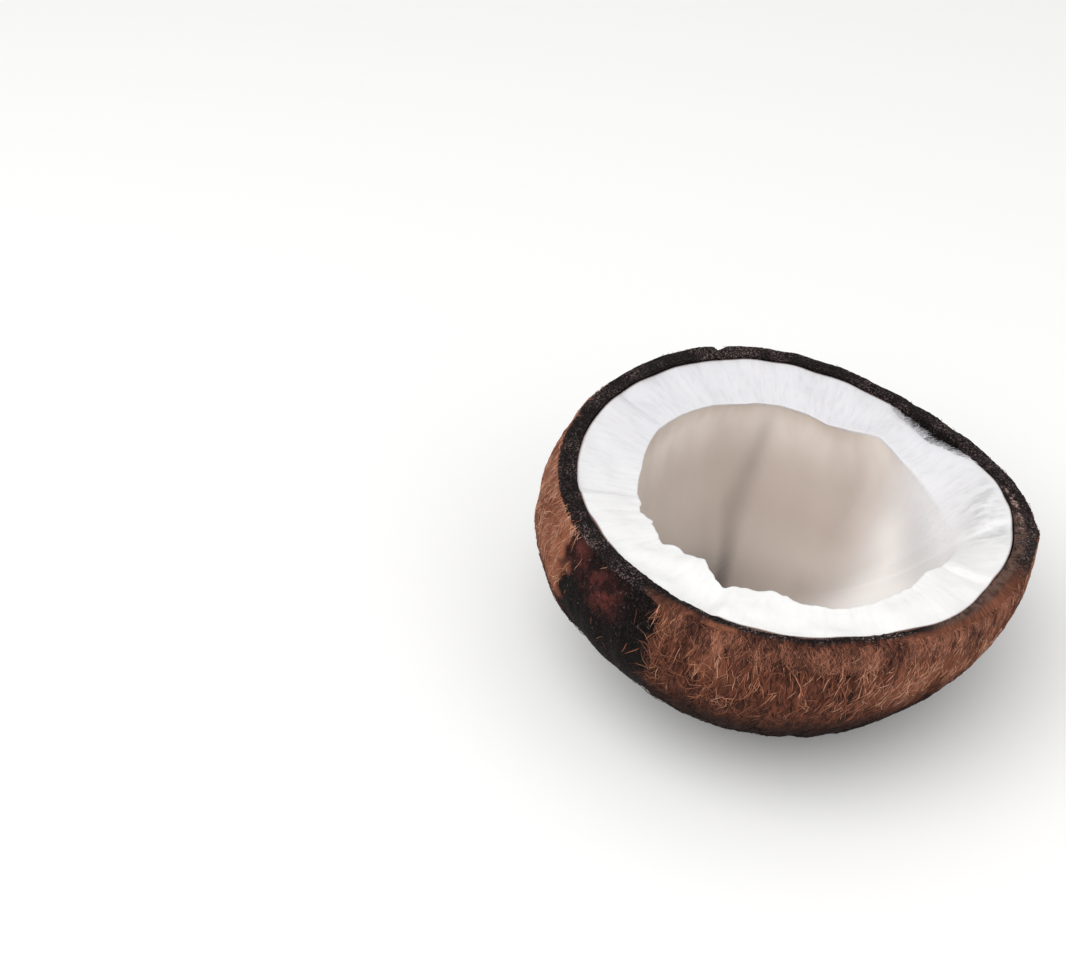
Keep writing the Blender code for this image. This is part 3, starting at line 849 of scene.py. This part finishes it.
def makeWoodMaterial():
    made, tree, shader = newMaterial("shellWood")
    paint = paintOf(tree, "shellPaint")
    place = paintOf(tree, "shellPlace")
    pores = rampOf(tree, grainNoise(tree, 2300.0, 4.0, 0.7, source="object"), 0.50, 0.66)
    weathered = rampOf(tree, grainNoise(tree, 150.0, 3.0, 0.6, source="object"), 0.38, 0.66)
    pores = times(tree, pores, calculate(tree, "MULTIPLY_ADD", weathered, 0.66, 0.14))
    colour = mixColours(tree, pores, huskLook["wood"], huskLook["woodLight"])
    # the lighter stretch, broken shell with painted light, blotched with the dark wood
    brokenAndLit = rampOf(tree, grainNoise(tree, 380.0, 4.0, 0.7, source="object"), 0.34, 0.62)
    colour = mixColours(tree, times(tree, paint["Red"], brokenAndLit), colour, huskLook["woodBrokenLit"])
    flecks = rampOf(tree, grainNoise(tree, 800.0, 3.0, 0.7, source="object"), 0.50, 0.64)
    colour = mixColours(tree, times(tree, place["Green"], flecks), colour, huskLook["streak"])
    colour = mixColours(tree, place["Blue"], colour, huskColours(tree, paint["Blue"]))
    tree.links.new(colour, shader.inputs["Base Color"])
    shader.inputs["Roughness"].default_value = 0.8
    shader.inputs["Specular IOR Level"].default_value = 0.14
    addBump(tree, shader, grainNoise(tree, 1300.0, 4.0, 0.7, source="object"), 0.7, 0.2 * mm)
    return made


shellPiece = makeShell([makeHuskMaterial(), makeWoodMaterial()])
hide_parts("shell")
print("shell and husk:", len(shellPiece.data.polygons), "triangles")


# Husk fibres: short thin strands felted on the husk, each a three-sided tube with the same number of points

fibres = {
    # how many, points, length and radius in mm, spread of the heading in degrees, lift from the husk in mm
    "mat_fibres": {"count": 7600, "points": 5, "length": (4, 10), "radius": (0.07, 0.12), "spread": 14,
                   "lift": (-0.10, 0.06), "wave": 0.35, "seed": 11},
    "top_fibres": {"count": 7600, "points": 5, "length": (2.4, 6.5), "radius": (0.05, 0.09), "spread": 19,
                   "lift": (0.0, 0.16), "wave": 0.35, "seed": 23},
    "cross_fibres": {"count": 7600, "points": 5, "length": (1.2, 3.6), "radius": (0.04, 0.07), "spread": 36,
                     "lift": (0.02, 0.20), "wave": 0.4, "seed": 37},
    "loose_hairs": {"count": 90, "points": 9, "length": (2.5, 5.5), "radius": (0.03, 0.05), "spread": 26,
                    "lift": (0.05, 0.4), "wave": 0.6, "seed": 51, "atBare": 0.8, "start": (0.10, 0.60)},
    "rim_fibres": {"count": 2600, "points": 5, "length": (2.0, 5.5), "radius": (0.06, 0.11), "spread": 24,
                   "lift": (0.0, 0.22), "wave": 0.4, "seed": 67, "atFront": 0.97, "start": (0.015, 0.12)},
}
strandLean = math.radians(-12.0)
strandSwirl = math.radians(32.0)
strandBend = 16.0                       # degrees
deepestStrand = 1.56                    # just short of the middle of the underside
# along the back of the edge the strands are fewer, so that the outline is clean
thinned = {"from": 10.0, "to": 135.0, "ease": 12.0, "depth": 0.10, "share": 0.85}


def strandStarts(kind, rng, count):
    # Where the strands start, and the way that they head: 0 is down to the underside, and 180 degrees
    # is up to the edge
    settings = fibres[kind]
    spread = np.radians(rng.normal(0.0, settings["spread"], count))
    angle = rng.uniform(0.0, 2.0 * math.pi, count)
    if kind == "rim_fibres":
        front = shell["overEdge"]
        atFront = rng.uniform(front["from"], front["to"], count)
        angle = np.where(rng.uniform(0.0, 1.0, count) < settings["atFront"], np.radians(atFront), angle)
        return angle, rng.uniform(*settings["start"], count), math.pi + spread
    # some more of them start right at the edge
    depthAngle = np.arcsin(np.maximum(rng.uniform(-0.07, 0.985, count), rng.uniform(0.002, 0.03, count)))
    if kind == "loose_hairs":
        # most of them lie along the ragged edge of the bare stretch
        ragged = np.radians(rng.normal(shell["bareAndShadowed"]["to"] + 5.0, 4.0, count))
        atBare = rng.uniform(0.0, 1.0, count) < settings["atBare"]
        angle = np.where(atBare, ragged, angle)
        depthAngle = np.where(atBare, rng.uniform(*settings["start"], count), depthAngle)
        return angle, depthAngle, np.where(atBare, -0.5 * math.pi, rng.uniform(-1.6, 1.6, count)) + spread
    swirl = grit(roundAbout(angle, 5.0, 4.0 * depthAngle, 3.0))
    return angle, depthAngle, strandLean + spread + strandSwirl * swirl


def strandPaths(kind):
    # One row of points for each strand, then each strand's radius, tone and share of shade
    settings = fibres[kind]
    rng = np.random.default_rng(settings["seed"])
    count = settings["count"] // 1
    steps = settings["points"]
    here, deep, heading = strandStarts(kind, rng, count)
    length = rng.uniform(*settings["length"], count) * mm
    wave = rng.normal(0.0, settings["wave"], (count, 2))
    phase = rng.uniform(0.0, 2.0 * math.pi, (count, 2))
    radii = rng.uniform(*settings["radius"], count) * mm
    # neighbouring strands are alike, in clumps and in narrow streaks
    clump = grit(roundAbout(here, 7.0, 7.0 * deep, 1.0))
    streak = grit(roundAbout(here, 38.0, 9.0 * deep, 5.0))
    meanRadius = 0.5 * (nut["rimRadius"] + nut["depth"])
    halfway = np.clip(deep + 0.5 * np.cos(heading) * length / meanRadius, 0.0, deepestStrand)
    inShade = smooth((np.sin(halfway) - shell["shaded"]["from"]) / shell["shaded"]["over"])
    tones = 0.35 * clump + 0.75 * streak + rng.uniform(-0.34, 0.34, count)
    tones = np.clip(huskTone(here, halfway) + tones * (1.0 - 0.85 * inShade), 0.0, 1.0)
    low, high = settings["lift"]
    base = rng.uniform(low, 0.5 * (low + high), count) * mm
    arch = rng.uniform(0.0, high - low, count) * mm
    bareAndShadowed = bareShare(here, deep)
    keep = rng.uniform(0.0, 1.0, count) > 0.98 * bareAndShadowed
    fewer = thinned["share"] * within(here, thinned)
    keep &= (deep > thinned["depth"]) | (rng.uniform(0.0, 1.0, count) > fewer)
    paths = np.zeros((count, steps, 3))
    for step in range(steps):
        share = step / (steps - 1)
        bend = sum(np.radians(strandBend * wave[:, i])
                   * np.sin(2.0 * math.pi * share * (0.5 + 0.7 * i) + phase[:, i]) for i in range(2))
        below = np.clip(deep, 0.0, deepestStrand)
        lift = base + arch * math.sin(math.pi * share)
        paths[:, step] = fromHusk(here, below, huskRelief(here, below), lift)
        # past the edge a strand turns in over it
        over = np.maximum(-deep, 0.0) * nut["rimRadius"]
        paths[:, step, 0] -= np.cos(here) * over
        paths[:, step, 1] -= np.sin(here) * over
        stride = length / (steps - 1)
        go = heading + bend
        deep = deep + np.cos(go) * stride / meanRadius
        deep = np.maximum(deep, -0.022)
        girth = nut["rimRadius"] * np.maximum(np.cos(np.clip(deep, 0.0, 1.5)), 0.12)
        here = here + np.sin(go) * stride / girth
    paths[:, :, 2] = np.maximum(paths[:, :, 2], 0.12 * mm)
    return paths[keep], radii[keep], tones[keep], inShade[keep]


def strandTube(steps):
    # A three-sided tube with a ring of corners for each point of a path
    tube = bmesh.new()
    bmesh.ops.create_cone(tube, cap_ends=True, segments=3, radius1=1.0, radius2=1.0, depth=steps - 1.0,
                          matrix=Matrix.Translation((0.0, 0.0, 0.5 * (steps - 1.0))))
    sides = [edge for edge in tube.edges if abs(edge.verts[0].co.z - edge.verts[1].co.z) > 0.5]
    bmesh.ops.subdivide_edges(tube, edges=sides, cuts=steps - 2, use_grid_fill=True)
    bmesh.ops.triangulate(tube, faces=tube.faces)
    bmesh.ops.recalc_face_normals(tube, faces=tube.faces)
    tube.verts.index_update()
    corners = np.array([vert.co[:] for vert in tube.verts])
    triangles = np.array([[vert.index for vert in face.verts] for face in tube.faces])
    tube.free()
    return corners, triangles


def unit(vectors):
    return vectors / np.maximum(np.linalg.norm(vectors, axis=-1, keepdims=True), 1e-12)


def makeStrands(kind, strands, material):
    paths, radii, tones, shade = strands
    count, steps, _ = paths.shape
    corners, triangles = strandTube(steps)
    ring = np.rint(corners[:, 2]).astype(int)
    along = unit(np.gradient(paths, axis=1))
    side = unit(np.cross(along, paths - np.array([0.0, 0.0, 40.0 * mm])))
    over = np.cross(along, side)
    taper = np.interp(np.linspace(0.0, 1.0, steps), [0.0, 0.2, 0.7, 1.0], [0.5, 1.0, 0.9, 0.25])
    thick = (radii[:, None] * taper)[:, ring, None]
    outward = corners[:, 0, None] * side[:, ring] + corners[:, 1, None] * over[:, ring]
    places = paths[:, ring] + thick * outward
    firsts = np.arange(count)[:, None, None] * len(corners)
    mesh = bpy.data.meshes.new(kind)
    mesh.from_pydata(places.reshape(-1, 3), [], (triangles + firsts).reshape(-1, 3))
    mesh.shade_smooth()
    addPaint(mesh, "tone", [np.repeat(tones, len(corners)), np.repeat(shade, len(corners))])
    return addPiece(kind, mesh, material)


def makeFibreMaterial(name, stops, dark):
    made, tree, shader = newMaterial(name)
    tone = paintOf(tree, "tone")
    ramp = tree.nodes.new("ShaderNodeValToRGB")
    while len(ramp.color_ramp.elements) < len(stops):
        ramp.color_ramp.elements.new(0.5)
    for element, (position, colour) in zip(ramp.color_ramp.elements, stops):
        element.position = position
        element.color = (*colour, 1.0)
    tree.links.new(tone["Red"], ramp.inputs[0])
    blotch = rampOf(tree, grainNoise(tree, 500.0, 3.0, 0.6, source="object"), 0.3, 0.75)
    colour = mixColours(tree, times(tree, blotch, 0.45), ramp.outputs[0], dark)
    # painted shade: each strand darker by its share of shade
    colour = mixColours(tree, times(tree, tone["Green"], 0.92), colour, dark)
    tree.links.new(colour, shader.inputs["Base Color"])
    shader.inputs["Roughness"].default_value = 0.8
    shader.inputs["Specular IOR Level"].default_value = 0.18
    return made


fibreTones = {
    "mat_fibres": [(0.0, srgb(26, 14, 11)), (0.5, srgb(116, 67, 50)), (1.0, srgb(172, 107, 80))],
    "top_fibres": [(0.0, srgb(36, 19, 15)), (0.5, srgb(138, 82, 61)), (0.9, srgb(198, 134, 103)),
                   (1.0, srgb(224, 170, 139))],
    "cross_fibres": [(0.0, srgb(42, 23, 18)), (0.5, srgb(148, 91, 69)), (0.85, srgb(206, 145, 116)),
                     (1.0, srgb(230, 181, 153))],
    "loose_hairs": [(0.0, srgb(134, 86, 63)), (0.6, srgb(184, 128, 99)), (1.0, srgb(214, 168, 139))],
    "rim_fibres": [(0.0, srgb(30, 17, 13)), (0.5, srgb(108, 66, 52)), (1.0, srgb(178, 118, 93))],
}

for kind in fibres:
    fibreLook = makeFibreMaterial(kind + "Look", fibreTones[kind], huskLook["gap"])
    strandPiece = makeStrands(kind, strandPaths(kind), fibreLook)
    print(kind + ":", len(strandPiece.data.polygons), "triangles")


# Wisps of torn flesh that hang into the gap where the flesh has come away from the shell

wisps = {"count": 800, "points": 4, "length": (0.8, 3.6), "radius": (0.05, 0.12), "from": 24.0, "to": 54.0,
         "sag": (0.0, 1.4), "seed": 5}


def wispPaths():
    rng = np.random.default_rng(wisps["seed"])
    count, steps = wisps["count"], wisps["points"]
    angle = np.radians(rng.triangular(wisps["from"], flesh["parted"]["crest"], wisps["to"], count))
    start = 0.06 + 0.24 * rng.uniform(0.55, 1.05, count) * swell(angle, flesh["parted"]["crest"], 22.0)
    length = rng.uniform(*wisps["length"], count) * mm
    lean = rng.normal(0.0, 0.35, count)
    sag = rng.uniform(*wisps["sag"], count) * mm
    fromHeight = faceHeight(angle, start, lipOf(angle)[1]) - 0.05 * mm
    edgeRadius = nut["rimRadius"] - nut["wall"] - nut["gap"] - wallChange(angle, 0.0)
    paths = np.zeros((count, steps, 3))
    for step in range(steps):
        part = step / (steps - 1)
        here = angle + lean * part * length / edgeRadius
        lipRadius, lipHeight = lipOf(here)
        share = np.maximum(start - part * length / (edgeRadius - lipRadius), 0.0)
        height = np.maximum(faceHeight(here, share, lipHeight), fromHeight - sag * part**1.5)
        paths[:, step] = setDown(uneven(edgeRadius + (lipRadius - edgeRadius) * share, height, here))
    return paths, rng.uniform(*wisps["radius"], count) * mm, rng.uniform(0.0, 1.0, count), np.zeros(count)


wispTones = [(0.0, srgb(120, 116, 120)), (0.5, srgb(186, 184, 187)), (1.0, srgb(236, 235, 236))]
wispLook = makeFibreMaterial("wispWhite", wispTones, srgb(176, 174, 177))
makeStrands("flesh_wisps", wispPaths(), wispLook)
print("wisps done")


# Camera, floor and light

view = {
    "fromRim": (-59.4 * mm, -319.6 * mm, 241.0 * mm),
    "pitch": 37.0,
    "lens": 60.0,
    "sensor": 36.0,
}

light = {
    "aim": (0.0, 0.0, 0.025),
    "keyFrom": (-0.45, -0.45, 0.95),
    "keySize": 1.3,
    "keyPower": 8.0,
    "fillFrom": (0.70, -0.75, 0.60),
    "fillSize": 1.2,
    "fillPower": 2.6,
    "sky": 0.645,
    "floor": srgb(251, 251, 250),
    "exposure": 0.0,
}


def addCamera():
    data = bpy.data.cameras.new("camera")
    data.lens = view["lens"]
    data.sensor_width = view["sensor"]
    data.clip_start = 0.01
    camera = bpy.data.objects.new("camera", data)
    camera.location = nut["rimCentre"] + Vector(view["fromRim"])
    camera.rotation_euler = (math.radians(90.0 - view["pitch"]), 0.0, 0.0)
    bpy.context.scene.collection.objects.link(camera)
    bpy.context.scene.camera = camera


def addSoftbox(name, place, size, power):
    data = bpy.data.lights.new(name, "AREA")
    data.shape = "DISK"
    data.size = size
    data.energy = power
    lamp = bpy.data.objects.new(name, data)
    lamp.location = place
    aim = Vector(light["aim"]) - Vector(place)
    lamp.rotation_euler = aim.to_track_quat("-Z", "Y").to_euler()
    bpy.context.scene.collection.objects.link(lamp)


def addFloor():
    made, tree, shader = newMaterial("paleFloor")
    shader.inputs["Base Color"].default_value = (*light["floor"], 1.0)
    shader.inputs["Roughness"].default_value = 0.9
    shader.inputs["Specular IOR Level"].default_value = 0.1
    sheet = bmesh.new()
    bmesh.ops.create_grid(sheet, x_segments=1, y_segments=1, size=6.0)
    mesh = bpy.data.meshes.new("floor")
    sheet.to_mesh(mesh)
    sheet.free()
    floor = bpy.data.objects.new("floor", mesh)
    mesh.materials.append(made)
    bpy.context.scene.collection.objects.link(floor)


addCamera()
addFloor()
addSoftbox("keyLight", light["keyFrom"], light["keySize"], light["keyPower"])
addSoftbox("fillLight", light["fillFrom"], light["fillSize"], light["fillPower"])
world = bpy.data.worlds.new("studio")
world.use_nodes = True
world.node_tree.nodes["Background"].inputs["Color"].default_value = (1.0, 1.0, 1.0, 1.0)
world.node_tree.nodes["Background"].inputs["Strength"].default_value = light["sky"]
bpy.context.scene.world = world
bpy.context.scene.view_settings.view_transform = "Standard"
bpy.context.scene.view_settings.look = "None"
bpy.context.scene.view_settings.exposure = light["exposure"]
print("stage done")
